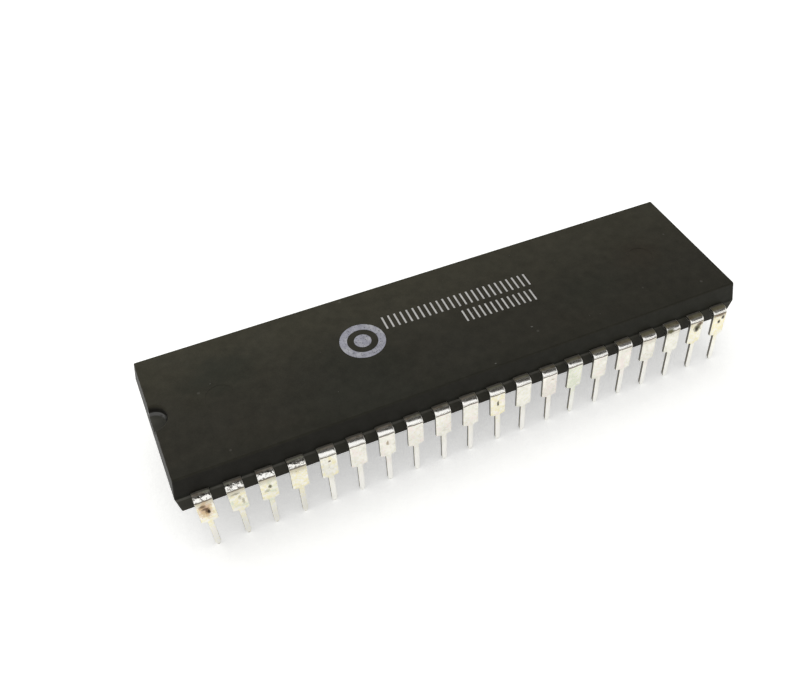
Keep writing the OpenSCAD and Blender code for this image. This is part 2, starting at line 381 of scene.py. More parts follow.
def top_tones(place, on_top):
    """Dark grey, darker at one end, with a painted far sheen and a painted dark near rim."""
    x, y, _ = split(place)
    clouds = ease(noise_at(place, CLOUD_SIZE), 0.3, 0.7)
    colour = tint(clouds, COAL, WARM_COAL)
    # Painted sheen: the top is painted lighter and browner towards the far edge, where it mirrors the
    # bright room.
    colour = tint(ease(y, -0.5 * side_y, side_y), colour, FAR_SHEEN)
    colour = tint(ease(x, -10 * MM, half_length, 0.0, 0.3), colour, DARKER_END)
    # Painted dark reflection along the near rim of the top.
    rim_reflection = ease(y, RIM_START - side_y, RIM_FULL - side_y, 0.0, 0.25)
    colour = tint(times(on_top, rim_reflection), colour, RIM_DARK_REFLECTION)
    for along, across, reach, shade in BODY_PATCHES:
        centre = Vector((along * MM, across * MM, top_z))
        spot = use(STAIN, Place=place, Centre=centre, Reach=Vector(reach) * MM, Ragged=0.5,
                   Softness=0.8)
        colour = tint(times(spot["Mask"], PATCH_STRENGTH), colour, shade)
    return colour


print("soft patches on the top:", len(BODY_PATCHES))

# %% [markdown]
# The sides lean away from the plane where the mould halves met. They get painted shade, darker
# towards the left, and the lower half, which faces the floor, a little painted light from it. Just
# above the plane lies a painted shadow of the leads, and just below it a painted highlight on the
# edge of the lower half, which stands out as a pale, broken ledge. A groove would need new
# geometry, and at this size tone is enough.

# %% Tones of the sides
SIDE_SHADE_LEFT = rgb(0.0190, 0.0180, 0.0150)
SIDE_SHADE_RIGHT = rgb(0.0270, 0.0265, 0.0205)
LOWER_HALF_FLOOR_LIGHT = rgb(0.0305, 0.0288, 0.0192)
SHADOW = rgb(0.0080, 0.0085, 0.0055)
LEDGE_HIGHLIGHT = rgb(0.080, 0.077, 0.065)
SEAM = 0.03 * MM
SHADOW_TOP = 0.45 * MM
SHADOW_FULL = 0.05 * MM
LEDGE_DROP = 0.23 * MM
LEDGE_HALF = 0.25 * MM
LEDGE_CORE = 0.08 * MM


def side_tones(place, colour, sideways):
    """Painted shade and floor light on the sides, a shadow over the plane and a highlight on the ledge."""
    x, _, z = split(place)
    over = minus(z, part_z)
    # Painted shade on the sides, darker towards the left.
    side_shade = tint(ease(x, -half_length, half_length), SIDE_SHADE_LEFT, SIDE_SHADE_RIGHT)
    colour = tint(sideways, colour, side_shade)
    # Painted light on the lower half, which faces the bright floor.
    colour = tint(ease(over, SEAM, -SEAM), colour, LOWER_HALF_FLOOR_LIGHT)
    # Painted shadow of the leads just above the parting plane.
    shaded = times(ease(over, -SEAM, SEAM), ease(over, SHADOW_TOP, SHADOW_FULL), 0.8)
    colour = tint(shaded, colour, SHADOW)
    # Painted highlight on the ledge, where the lower half stands out a little and catches light from
    # above.
    off_ledge = maths("ABSOLUTE", maths("ADD", over, LEDGE_DROP))
    broken = ease(noise_at(place, 1.6 * MM, detail=4.0), 0.3, 0.6, 0.6, 1.0)
    fading = ease(x, 9 * MM, 17 * MM, 1.0, 0.1)
    ledge_highlight = times(ease(off_ledge, LEDGE_HALF, LEDGE_CORE), broken, fading)
    return tint(ledge_highlight, colour, LEDGE_HIGHLIGHT)


print("pale ledge at", round((part_z - LEDGE_DROP) / MM, 2), "mm, under the parting plane")

# %% [markdown]
# The notch shows where lead 1 is. A pin of the mould left it, so the foot of its wall is smooth:
# it gets a clear coat and a painted highlight in the shape of a crescent. Its floor gets painted
# light, paler towards the far wall. The distance from the end of the body picks the notch out of
# the mesh.

# %% Tones of the notch
NOTCH_DEPTH = 0.9 * MM
NOTCH_REACH = 1.6 * MM
NOTCH_FLOOR_LIGHT_NEAR = rgb(0.056, 0.055, 0.044)
NOTCH_FLOOR_LIGHT_FAR = rgb(0.100, 0.098, 0.082)
FOOT_HIGHLIGHT = rgb(0.115, 0.112, 0.105)


def notch_tones(place, colour):
    """Painted light on the floor and highlight on the foot; gives the colour and the mask of the foot."""
    _, y, z = split(place)
    off_end = vector_maths("DISTANCE", place, (-half_length, 0, top_z))["Value"]
    in_notch = maths("LESS_THAN", off_end, NOTCH_REACH)
    lifted = minus(z, top_z - NOTCH_DEPTH)
    # Painted light on the notch's floor, paler towards the far wall.
    near_floor = ease(maths("ABSOLUTE", lifted), 0.08 * MM, 0.03 * MM)
    floor_light = tint(ease(y, -0.2 * MM, 0.8 * MM), NOTCH_FLOOR_LIGHT_NEAR, NOTCH_FLOOR_LIGHT_FAR)
    colour = tint(times(near_floor, in_notch, 0.7), colour, floor_light)
    # Painted highlight in a crescent at the foot of the notch wall; the same mask sets the clear coat.
    over_floor = ease(lifted, 0.02 * MM, 0.06 * MM)
    under_wall = ease(lifted, 0.30 * MM, 0.20 * MM)
    crescent = times(over_floor, under_wall, in_notch, ease(y, 0.1 * MM, 0.6 * MM))
    return tint(times(crescent, 0.6), colour, FOOT_HIGHLIGHT), crescent


print("notch floor at", round((top_z - NOTCH_DEPTH) / MM, 3), "mm")

# %% [markdown]
# The tones are laid over each other: the moulding with its painted sheen, shade and highlights,
# the grain of the mould, worn edges, dust, and last the notch with its painted light. Its foot
# gets a thin clear coat, the plain way to make one zone shine without touching the rest.

# %% Moulded epoxy
WORN = rgb(0.075, 0.072, 0.060)
SPECK = rgb(0.12, 0.115, 0.10)


def make_epoxy():
    look = {"Specular_IOR_Level": 0.06, "Coat_Roughness": 0.14}
    material, shader, place = new_finish("moulded_epoxy", **look)
    on_top = ease(split(place)[2], top_z - 0.3 * MM, top_z - 0.02 * MM)
    sideways = minus(1.0, on_top)
    colour = side_tones(place, top_tones(place, on_top), sideways)
    grain = use(GRAIN, Place=place, Size=0.11 * MM, Contrast=0.55)
    colour = tint(1.0, colour, grain["Tone"], "MULTIPLY")
    wear = use(EDGE_WEAR, Place=place, Radius=0.16 * MM, Patch_size=1.4 * MM, Amount=0.2)
    colour = tint(wear["Mask"], colour, WORN)
    dust = use(DUST, Place=place, Size=0.75 * MM, Amount=0.02)
    colour = tint(times(dust["Mask"], 0.35), colour, SPECK)
    colour, crescent = notch_tones(place, colour)
    rubbed = noise_at(place, 3.1 * MM, detail=5.0, roughness=0.6)
    matt = ease(rubbed, 0.3, 0.7, 0.48, 0.60)
    paint(shader, colour, ease(sideways, 0.0, 1.0, matt, 0.45))
    feed(shader.inputs["Coat Weight"], crescent)
    bump(shader, grain["Height"], 0.004 * MM)
    return material


EPOXY = make_epoxy()
print("epoxy nodes:", len(EPOXY.node_tree.nodes))

# %% [markdown]
# Dipped solder
#
# Outside the body the leads were dipped in molten solder. The skin stayed bright on the bend and
# the slim legs, and froze to a frosted cream on the wide face. A metal has no colour under white
# light except its reflections, so most of the work is in what it mirrors, and the material adds
# the tones in steps. On the first four leads the bend froze in lumps with dark pits, and the legs
# at the left end are a little duller.

# %% Bright bend and legs
BRIGHT = rgb(0.99, 0.98, 0.95)
CREAM = rgb(0.90, 0.88, 0.80)
ASH = rgb(0.76, 0.75, 0.68)
PINK = rgb(0.86, 0.78, 0.74)
GREEN = rgb(0.72, 0.75, 0.62)
YELLOW = rgb(0.84, 0.78, 0.54)
DULL_LEG = rgb(0.80, 0.79, 0.75)
PIT = rgb(0.10, 0.085, 0.07)
LIP_DROP = 0.235 * MM
LIP_EDGE = 0.04 * MM
LEG_DIM = 3.6 * MM
LEG_CLEAR = 1.2 * MM
POLISH = 0.85

lip_z = part_z - LIP_DROP


def row_ends(place):
    """Masks of the leads at the left and at the right end of the rows."""
    x = split(place)[0]
    return ease(x, -14.5 * MM, -16 * MM), ease(x, 13 * MM, 16 * MM)


def brighten(place, colour, pitted):
    """Clears the leg and the bend of their mottling, then pits the bend."""
    z = split(place)[2]
    left_end, _ = row_ends(place)
    on_leg = ease(z, LEG_DIM, LEG_CLEAR, 0.0, POLISH)
    colour = tint(on_leg, colour, tint(left_end, BRIGHT, DULL_LEG))
    on_bend = ease(z, lip_z, lip_z + LIP_EDGE)
    colour = tint(times(on_bend, POLISH), colour, BRIGHT)
    pits = ease(noise_at(place, 0.24 * MM), 0.50, 0.60)
    return tint(times(pits, on_bend, pitted), colour, PIT)


print("bright band above", round(lip_z / MM, 3), "mm")

# %% [markdown]
# Below the bright band runs a thin dark line, where the clear solder ends in a lip that turns away
# from the light. The lip is thinner than the skin could be modelled, so its dark reflection is
# painted, and a noise makes it waver. Under it, the faces at both ends of the row get a painted
# brownish shade that fades downwards.

# %% Lip and dull faces
LIP_DARK_REFLECTION = rgb(0.13, 0.11, 0.09)
FACE_SHADE = rgb(0.46, 0.42, 0.33)
FACE_SHADE_LEFT = 0.9
FACE_SHADE_RIGHT = 0.6
FACE_LOW = 4.75 * MM
FACE_HIGH = 5.75 * MM
FACE_OUT = 0.717 * MM
LIP_HALF = 0.085 * MM
LIP_CORE = 0.04 * MM
LIP_WAVER = 0.12 * MM


def draw_lip(place, colour):
    """Paints shade on the wide face at both ends of the rows and the lip's dark reflection over it."""
    _, y, z = split(place)
    left_end, right_end = row_ends(place)
    # Painted brownish shade on the top of the face at both ends of the rows, fading downwards.
    ends = maths("MAXIMUM", times(left_end, FACE_SHADE_LEFT), times(right_end, FACE_SHADE_RIGHT))
    on_face = times(ease(z, FACE_LOW, FACE_HIGH), ease(z, lip_z + 0.03 * MM, lip_z))
    colour = tint(times(on_face, ends), colour, FACE_SHADE)
    # Painted dark reflection of the lip, wavering along the lead.
    waver = minus(noise_at(place, 0.6 * MM, detail=3.0), 0.5)
    height = maths("ADD", z, times(waver, LIP_WAVER))
    off_lip = maths("ABSOLUTE", minus(height, lip_z))
    face_y = side_y + FACE_OUT
    outside = ease(maths("ABSOLUTE", y), face_y, face_y + 0.05 * MM, 0.0, 0.9)
    return tint(times(ease(off_lip, LIP_HALF, LIP_CORE), outside), colour, LIP_DARK_REFLECTION)


print("lip, top to bottom:", round(2 * LIP_HALF / MM, 2), "mm")

# %% [markdown]
# Where a lead leaves the body, flux and oxide lie on it as a dull film. Right at the root it is
# painted darker still, as the contact shadow of the body and the body's dark reflection. A film
# isn't metal, so it takes part of the metal look away, and its colour has to replace the bright one
# in full: the Principled shader uses one base colour for metal and for paint, and a mixed one would
# leave the film shining.

# %% Film near the root
FILM_BROWN = rgb(0.64, 0.56, 0.48)
FILM_GREEN = rgb(0.56, 0.57, 0.45)
FILM_RIGHT = rgb(0.34, 0.31, 0.20)
FILM_BLOTCH = rgb(0.26, 0.21, 0.14)
ROOT_SHADE = rgb(0.14, 0.13, 0.11)
FILM_SHARE = 0.5
ROOT_SHADE_SHARE = 0.35


def film_and_root_shade(place):
    """How much film and painted root shade there is at each point, and their colour."""
    x, y, _ = split(place)
    out = maths("ABSOLUTE", y)
    spread = minus(out, ease(x, 2 * MM, 18 * MM, 0.0, 0.2 * MM))
    # Painted shade at the root: the contact shadow of the body and its dark reflection.
    root_shade_mask = ease(out, side_y + 0.26 * MM, side_y + 0.12 * MM)
    film_and_shade = ease(spread, side_y + 0.5 * MM, side_y + 0.3 * MM, 0.0, FILM_SHARE)
    film_and_shade = maths("ADD", film_and_shade, times(root_shade_mask, ROOT_SHADE_SHARE))
    hue = ease(noise_at(place, 2.3 * MM), 0.4, 0.6)
    film = tint(hue, FILM_BROWN, FILM_GREEN)
    film = tint(ease(x, -half_length, half_length, 0.0, 0.95), film, FILM_RIGHT)
    blotch = ease(noise_at(place, 0.45 * MM, detail=3.0), 0.48, 0.62, 0.0, 0.6)
    film = tint(blotch, film, FILM_BLOTCH)
    return film_and_shade, tint(root_shade_mask, film, ROOT_SHADE)


# The second share is painted shade at the root.
print("share of the metal that the film takes:", FILM_SHARE, "and", ROOT_SHADE_SHARE, "more at the root")

# %% [markdown]
# One function makes every variant, and a lead that looks different gets its own colours and
# stains. The stains come after the film, because flux burnt on last. The sheared flanks of the
# strip, which face their neighbours, get painted shade, as they mirror the shaded floor under the
# part, and the melt makes soft waves on the bend.

# %% Solder finish
FLANK_SHADE = rgb(0.17, 0.16, 0.14)
CLEAR_FROST = 0.17
DULL_FROST = 0.25
CALM_MELT = 0.0025 * MM


def make_solder(name, shades, stains=(), melt=CALM_MELT, pitted=0.0):
    material, shader, place = new_finish(name)
    colour, patches, grain = dappled(place, 0.3 * MM, shades, 0.16 * MM, 0.22)
    roughness = ease(patches, 0.0, 1.0, CLEAR_FROST, DULL_FROST)
    colour = draw_lip(place, brighten(place, colour, pitted))
    film_and_shade, film = film_and_root_shade(place)
    colour = tint(ease(film_and_shade, 0.0, FILM_SHARE), colour, film)
    metal = minus(1.0, film_and_shade)
    for centre, reach, shade, strength in stains:
        spot = use(STAIN, Place=place, Centre=centre, Reach=reach, Ragged=0.45, Softness=0.65)
        mask = times(spot["Mask"], strength)
        colour = tint(mask, colour, shade)
        roughness = maths("ADD", roughness, times(mask, 0.3))
        metal = times(metal, minus(1.0, times(mask, 0.85)))
    # Painted shade on the flanks that face the neighbouring leads.
    facing = split(surface_normal(material.node_tree))
    flank_shade_mask = ease(maths("ABSOLUTE", facing[0]), 0.55, 0.85)
    paint(shader, tint(flank_shade_mask, colour, FLANK_SHADE), roughness)
    feed(shader.inputs["Metallic"], metal)

    on_bend = ease(maths("ABSOLUTE", facing[1]), 0.98, 0.9, 0.3, 1.0)
    frozen = times(noise_at(place, 0.3 * MM, detail=1.0), melt, on_bend)
    fine = times(grain["Height"], 0.00015 * MM)
    bump(shader, maths("ADD", frozen, fine), 1.0)
    return material


SOLDER = make_solder("dipped_solder", (CREAM, ASH, PINK))
print("solder nodes:", len(SOLDER.node_tree.nodes))

# %% [markdown]
# The route of one lead
#
# A lead leaves the body flat, turns down through a tight bend, and runs out a little as it goes
# down. Its outline is wide as far as the shoulders, then slim, then tapered. A loft needs both as
# functions of the distance along the strip, so they are worked out here for a lead of the near
# row. The far row is the same turned half round.

# %% Strip route and outline
ROOT_OUT = 0.34 * MM
BEND_R = 0.25 * MM
SPLAY = math.radians(3.1)
LEAD_W = 1.4 * MM
LEG_W = 0.46 * MM
TIP_W = 0.22 * MM
TIP_LEN = 0.35 * MM
SHOULDER_SLOPE = 0.12 * MM
SEAT_Z = 3.25 * MM

bend_y = side_y + ROOT_OUT
middle_r = BEND_R + STRIP_T / 2
bend_z = part_z - middle_r
leg_len = (bend_z + BEND_R * math.sin(SPLAY)) / math.cos(SPLAY)
shoulder_d = (bend_z + middle_r * math.sin(SPLAY) - SEAT_Z) / math.cos(SPLAY)
bend_turn = math.pi / 2 - SPLAY
LEG_DOWN = Vector((0, -math.sin(SPLAY), -math.cos(SPLAY)))
LEG_OUT = Vector((0, -math.cos(SPLAY), math.sin(SPLAY)))


def stub_station(along):
    """Middle of the strip and its outward side, on the flat stretch before the bend."""
    return Vector((0, along - bend_y, part_z)), Vector((0, 0, 1))


def bend_station(turn):
    """The same on the bend, after a turn in radians."""
    out = Vector((0, -math.sin(turn), math.cos(turn)))
    return Vector((0, -bend_y, bend_z)) + out * middle_r, out


def leg_station(down):
    """The same on the leg, at a distance below the end of the bend."""
    start, _ = bend_station(bend_turn)
    return start + LEG_DOWN * down, LEG_OUT


print("leg length", round(leg_len / MM, 3), "mm, shoulders at", round(shoulder_d / MM, 3), "mm")

# %% [markdown]
# Molten solder rounds the corners of the outline: it is pulled thin over an outer corner and fills
# an inner one. A short arc in place of a corner does both, so the outline is a list of corners,
# each with the radius of its arc.

# %% Rounded outline
COAT = 0.015 * MM
ARC_STEPS = 7
TIP_GAP = 0.006 * MM
WIDE_HALF = LEAD_W / 2 + COAT
SLIM_HALF = LEG_W / 2 + COAT


def rounded(corners, steps):
    """Points of an outline given as (down, half width, radius), with each corner made an arc."""
    points = []
    for i, (down, half, radius) in enumerate(corners):
        here = Vector((down, half))
        if i in (0, len(corners) - 1) or radius == 0:
            points.append(here)
            continue
        back = (Vector(corners[i - 1][:2]) - here).normalized()
        ahead = (Vector(corners[i + 1][:2]) - here).normalized()
        angle = back.angle(ahead)
        reach = radius / math.tan(angle / 2)
        centre = here + (back + ahead).normalized() * (radius / math.sin(angle / 2))
        first = here + back * reach - centre
        last = here + ahead * reach - centre
        for step in range(steps + 1):
            spoke = first.lerp(last, step / steps).normalized() * radius
            points.append(centre + spoke)
    return points


leg_corners = [
    (0, WIDE_HALF, 0),
    (shoulder_d + COAT / 2, WIDE_HALF, 0.07 * MM),
    (shoulder_d + SHOULDER_SLOPE + COAT, SLIM_HALF, 0.13 * MM),
    (leg_len - TIP_LEN, SLIM_HALF, 0.3 * MM),
    (leg_len - TIP_GAP, TIP_W / 2 + COAT, 0),
]
leg_outline = rounded(leg_corners, ARC_STEPS)
print("outline points below the bend:", len(leg_outline))

# %% [markdown]
# The skin of solder
#
# The dip left a skin one or two hundredths of a millimetre thick, crowned across the strip and
# lumpy where it froze. A bump could fake it, but the sharp edges of the strip would still show in
# the outline. So it is a piece of its own: rings of points round the strip, joined into a tube,
# with a noise that moves each point by less than the skin's thickness, so that the strip never
# breaks through.

# %% Cross-section of the dipped strip
CORNER_STEPS = 3
FACE_STEPS = 10
CROWN = 0.012 * MM


def cross_section(half, thick):
    """Points (across, out) of a rounded bar, given its half width and half thickness."""
    radius = min(0.075 * MM, 0.9 * thick, 0.7 * half)
    points = []
    for sign_across, sign_out in ((1, 1), (-1, 1), (-1, -1), (1, -1)):
        corner = Vector((sign_across * (half - radius), sign_out * (thick - radius)))
        quarter = math.atan2(sign_out, sign_across) - math.pi / 4
        for step in range(CORNER_STEPS + 1):
            angle = quarter + step / CORNER_STEPS * math.pi / 2
            points.append(corner + Vector((math.cos(angle), math.sin(angle))) * radius)
        if sign_across == sign_out:
            for step in range(1, FACE_STEPS):
                part = step / FACE_STEPS
                across = sign_across * (half - radius) * (1 - 2 * part)
                points.append(Vector((across, sign_out * thick)))
    return points


def crowned(point, half):
    """Raises the middle of each wide face, as a liquid skin does before it freezes."""
    rise = CROWN * max(0.0, 1 - (point.x / half) ** 2)
    return Vector((point.x, point.y + math.copysign(rise, point.y)))


print("points in a ring:", len(cross_section(LEAD_W / 2, STRIP_T / 2)))

# %% [markdown]
# The rings stand close together on the bend and further apart on the leg. Each tip was pushed a
# little out of line in use, and its lean is read off the frame's own mesh, so that the skin
# follows its strip.

# %% Rings along a lead
STUB_STATIONS = 4
BEND_STATIONS = 14
LEG_STEP = 0.12 * MM


def stations():
    """Middle, outward side, half width and distance below the bend, from the root to the tip."""
    rows = []
    for i in range(STUB_STATIONS):
        along = (ROOT_OUT + 0.06 * MM) * (1 - i / STUB_STATIONS)
        rows.append((*stub_station(along), WIDE_HALF, 0.0))
    for i in range(BEND_STATIONS):
        rows.append((*bend_station(bend_turn * i / BEND_STATIONS), WIDE_HALF, 0.0))
    previous = leg_outline[0]
    for point in leg_outline[1:]:
        pieces = max(1, round((point.x - previous.x) / LEG_STEP))
        for i in range(pieces):
            down, half = previous.lerp(point, i / pieces)
            rows.append((*leg_station(down), half, down))
        previous = point
    rows.append((*leg_station(previous.x), previous.y, previous.x))
    return rows


def lead_lean(number):
    """Place of a lead along the row, and how far its tip leans, read off its mesh."""
    vertices = [vertex.co for vertex in nodes[f"lead_{number}"].data.vertices]
    wide = [p.x for p in vertices if abs(p.y) > side_y and p.z > part_z]
    tip = [p.x for p in vertices if p.z < 0.1 * MM]
    middle = (min(wide) + max(wide)) / 2
    return middle, (min(tip) + max(tip)) / 2 - middle


print("rings on a lead:", len(stations()))

# %% [markdown]
# No two skins froze alike, so the noise of each lead starts from another point in space, and the
# first four are lumpier. A bmesh is a mesh that is still being built. One helper turns it into an
# object of the scene, because the ink and the dust need the same.

# %% Loft the skins
LUMPY_LEADS = 4
LUMPY = 0.011 * MM
EVEN = 0.005 * MM


def add_object(name, data):
    """Puts a new object with the given data in the scene."""
    made = bpy.data.objects.new(name, data)
    bpy.context.scene.collection.objects.link(made)
    return made


def to_object(name, mesh, smooth=False):
    """Turns a finished bmesh into an object of the scene."""
    for face in mesh.faces:
        face.smooth = smooth
    data = bpy.data.meshes.new(name)
    mesh.to_mesh(data)
    mesh.free()
    return add_object(name, data)


def loft_skin(number, lumps):
    """Makes the skin of one lead as a closed tube round its strip."""
    turn = 1 if number <= LEADS_PER_ROW else -1
    middle, lean = lead_lean(number)
    seed = Vector((number * 7.3, number * 3.1, 0))
    mesh = bmesh.new()
    rings = []
    for centre, out, half, down in stations():
        ring = []
        for point in cross_section(half, STRIP_T / 2 + COAT):
            across, rise = crowned(point, half)
            spot = centre + out * rise + Vector((across + turn * lean * down / leg_len, 0, 0))
            wave = noise.noise(spot / (0.8 * MM) + seed) + 0.2 * noise.noise(spot / (0.35 * MM) + seed)
            push = point.normalized() * wave * lumps
            spot += out * push.y + Vector((push.x, 0, 0))
            spot.x += turn * middle
            ring.append(mesh.verts.new((turn * spot.x, turn * spot.y, max(spot.z, 0.0))))
        rings.append(ring)
    count = len(rings[0])
    for upper, lower in zip(rings, rings[1:]):
        for i in range(count):
            j = (i + 1) % count
            mesh.faces.new((upper[i], upper[j], lower[j], lower[i]))
    mesh.faces.new(rings[0])
    mesh.faces.new(rings[-1])
    bmesh.ops.recalc_face_normals(mesh, faces=mesh.faces)
    return to_object(f"solder_skin_{number}", mesh, smooth=True)


skins = {}
for number in range(1, LEAD_COUNT + 1):
    skins[number] = loft_skin(number, LUMPY if number <= LUMPY_LEADS else EVEN)
    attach(skins[number], "root")
print("skins:", len(skins), "with", len(skins[1].data.polygons), "faces each")

# %% [markdown]
# Stains of single leads
#
# The photograph shows a used part: some leads are yellowed, one has a black burnt dot, others a
# brown smear under the bend. Each stain is placed on the outer face of its lead by how far it lies
# across from the middle and down from the bend.

# %% Stain helpers
STAIN_DEPTH = 0.5 * MM
BURNT = rgb(0.030, 0.018, 0.010)
BROWN = rgb(0.16, 0.085, 0.035)
RUST = rgb(0.66, 0.36, 0.12)
OLIVE = rgb(0.12, 0.11, 0.035)
TAN = rgb(0.45, 0.34, 0.20)


def on_face(number, across, down):
    """A point on the outer face of a near lead, in metres, from millimetres across and down."""
    middle, lean = lead_lean(number)
    centre, out = leg_station(down * MM)
    slide = Vector((middle + across * MM + lean * down * MM / leg_len, 0, 0))
    return centre + out * STRIP_T / 2 + slide


def stain(number, across, down, wide, tall, shade, strength=1.0):
    """One stain as the solder finish takes it."""
    reach = Vector((wide * MM, STAIN_DEPTH, tall * MM))
    return on_face(number, across, down), reach, shade, strength


print("a point 1 mm down the face of lead 1:", on_face(1, 0, 1))

# %% [markdown]
# Each lead that stands out has three colours for its mottling and a list of stains: place, reach
# across and down, colour and strength. The far row is hidden in the photograph, so it stays plain.

# %% Stained leads
VARIANTS = {
    1: (CREAM, YELLOW, PINK, [
        (-0.05, 0.95, 0.75, 1.15, RUST, 0.6),
        (-0.20, 0.45, 0.34, 0.24, BROWN, 0.8),
        (-0.05, 0.80, 0.38, 0.20, BROWN, 0.85),
        (0.08, 1.10, 0.26, 0.42, BROWN, 0.9),
        (0.16, 1.20, 0.15, 0.32, BURNT),
    ]),
    2: (CREAM, YELLOW, GREEN, [
        (-0.1, 0.35, 0.5, 0.16, OLIVE, 0.45),
        (0.15, 0.9, 0.2, 0.35, OLIVE, 0.35),
        (0.35, 1.4, 0.16, 0.5, OLIVE, 0.4),
    ]),
    3: (CREAM, YELLOW, GREEN, [
        (0.1, 0.9, 0.2, 0.28, OLIVE, 0.9),
        (-0.2, 1.3, 0.3, 0.25, OLIVE, 0.3),
    ]),
    4: (CREAM, YELLOW, YELLOW, [(-0.2, 0.3, 0.05, 0.06, BROWN, 0.9)]),
    5: (CREAM, ASH, YELLOW, [(0.05, 0.5, 0.16, 0.16, BROWN, 0.8)]),
    7: (CREAM, ASH, PINK, [(0.0, 0.85, 0.16, 0.35, TAN, 0.7)]),
    11: (CREAM, YELLOW, PINK, [
        (0.0, 0.95, 0.13, 0.42, OLIVE, 0.9),
        (0.02, 1.1, 0.10, 0.12, BURNT),
    ]),
    13: (PINK, ASH, CREAM, [(0.25, 0.45, 0.2, 0.1, TAN, 0.5)]),
    14: (GREEN, CREAM, GREEN, []),
    18: (CREAM, ASH, CREAM, [(-0.35, -0.15, 0.5, 0.32, OLIVE, 0.95)]),
    19: (CREAM, YELLOW, CREAM, [
        (0.12, 0.55, 0.5, 0.55, OLIVE, 0.95),
        (0.05, 0.75, 0.22, 0.45, BURNT, 0.9),
        (0.35, 0.15, 0.4, 0.25, BROWN, 0.9),
    ]),
    20: (YELLOW, CREAM, YELLOW, [
        (0.0, 0.8, 0.2, 0.28, BURNT),
        (0.38, 0.4, 0.22, 0.3, BURNT),
        (0.0, 0.0, 0.9, 0.2, BROWN, 0.75),
    ]),
}
LUMPY_LOOK = {"melt": 0.09 * MM, "pitted": 0.8}
EVEN_LOOK = {"melt": 0.003 * MM, "pitted": 0.0}

for skin in skins.values():
    skin.data.materials.append(SOLDER)
for number, (*shades, rows) in VARIANTS.items():
    look = LUMPY_LOOK if number <= LUMPY_LEADS else EVEN_LOOK
    stains = [stain(number, *row) for row in rows]
    skins[number].data.materials[0] = make_solder(f"dipped_solder_{number}", shades, stains, **look)
print("leads with a finish of their own:", sorted(VARIANTS))

# %% [markdown]
# Ink on the top face
#
# A package is marked in pale ink. Here the mark is a ring with a dot, with two rows of upright
# strokes like those on a scale. A mask in the epoxy would do, but ink has a thickness and an edge
# that catch the light, so it is a film of one hundredth of a millimetre, built stroke by stroke.

# %% Helpers for ink shapes
INK_T = 0.012 * MM
RING_STEPS = 72
MARK_TURN = math.radians(-1.2)
MARK_PLACE = Vector((-7.4 * MM, 0.85 * MM))
CORNERS = [(-1, -1), (1, -1), (1, 1), (-1, 1)]


def slab(mesh, outline):
    """Adds a thin plate on the top face from a closed outline of (x, y)."""
    low = [mesh.verts.new((p.x, p.y, top_z - INK_T / 2)) for p in outline]
    high = [mesh.verts.new((p.x, p.y, top_z + INK_T)) for p in outline]
    mesh.faces.new(high)
    mesh.faces.new(list(reversed(low)))
    for i in range(len(outline)):
        j = (i + 1) % len(outline)
        mesh.faces.new((low[i], low[j], high[j], high[i]))


def circle_point(step, radius):
    """A point on a circle round the middle of the mark, by its step and its radius."""
    angle = 2 * math.pi * step / RING_STEPS
    return MARK_PLACE + Vector((math.cos(angle), math.sin(angle))) * radius


def ring(mesh, inner, outer):
    """Adds a ring as a run of short plates that share no gap."""
    for step in range(RING_STEPS):
        corners = [(step, inner), (step, outer), (step + 1, outer), (step + 1, inner)]
        slab(mesh, [circle_point(at, radius) for at, radius in corners])


def stroke_row(mesh, left, right, middle_y, height, count):
    """Adds a row of upright strokes, turned a little, because a stamp seldom lands quite square."""
    turn = Matrix.Rotation(MARK_TURN, 2)
    width = 0.16 * MM
    for i in range(count):
        x = left + (right - left) * i / (count - 1)
        slab(mesh, [turn @ Vector((x + sx * width / 2, middle_y + sy * height / 2)) for sx, sy in CORNERS])


print("ink film:", round(INK_T / MM, 3), "mm over the top face")

# %% [markdown]
# The ring, the dot and both rows are stamped in one go, so they are one piece. Neighbouring plates
# of the ring share their corners, and merging these leaves no doubled points.

# %% Ink piece
def make_ink():
    mesh = bmesh.new()
    ring(mesh, 1.35 * MM, 2.0 * MM)
    slab(mesh, [circle_point(step, 0.75 * MM) for step in range(RING_STEPS)])
    stroke_row(mesh, -4.9 * MM, 9.0 * MM, 1.93 * MM, 1.5 * MM, 25)
    stroke_row(mesh, 1.9 * MM, 8.6 * MM, -0.1 * MM, 1.4 * MM, 13)
    bmesh.ops.remove_doubles(mesh, verts=mesh.verts, dist=0.0005 * MM)
    return to_object("top_ink", mesh)


ink = make_ink()
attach(ink, "root")
print("ink faces:", len(ink.data.polygons))

# %% [markdown]
# The ink has sunk into the matt top and rubbed thin on its high grains, so the dark epoxy shows
# through in specks. The ring is a cool grey with a touch of lilac and the strokes are lighter and
# warmer. Their place along the body tells them apart, so one material serves both.

# %% Ink finish
LILAC_GREYS = (rgb(0.38, 0.38, 0.43), rgb(0.30, 0.30, 0.35), rgb(0.44, 0.44, 0.47))
STROKE_GREY = rgb(0.52, 0.51, 0.49)
BARE_EPOXY = rgb(0.04, 0.04, 0.036)


def make_ink_finish():
    material, shader, place = new_finish("marking_ink", Specular_IOR_Level=0.3)
    colour, _, grain = dappled(place, 0.35 * MM, LILAC_GREYS, 0.09 * MM, 0.5)
    bare = ease(noise_at(place, 0.12 * MM, detail=4.0), 0.56, 0.66)
    colour = tint(times(bare, 0.7), colour, BARE_EPOXY)
    in_rows = ease(split(place)[0], -5.4 * MM, -5.2 * MM)
    colour = tint(in_rows, colour, tint(1.0, STROKE_GREY, grain["Tone"], "MULTIPLY"))
    paint(shader, colour, ease(grain["Height"], 0.2, 0.8, 0.55, 0.75))
    bump(shader, grain["Height"], 0.005 * MM)
    return material


ink.data.materials.append(make_ink_finish())
print("ink nodes:", len(ink.data.materials[0].node_tree.nodes))

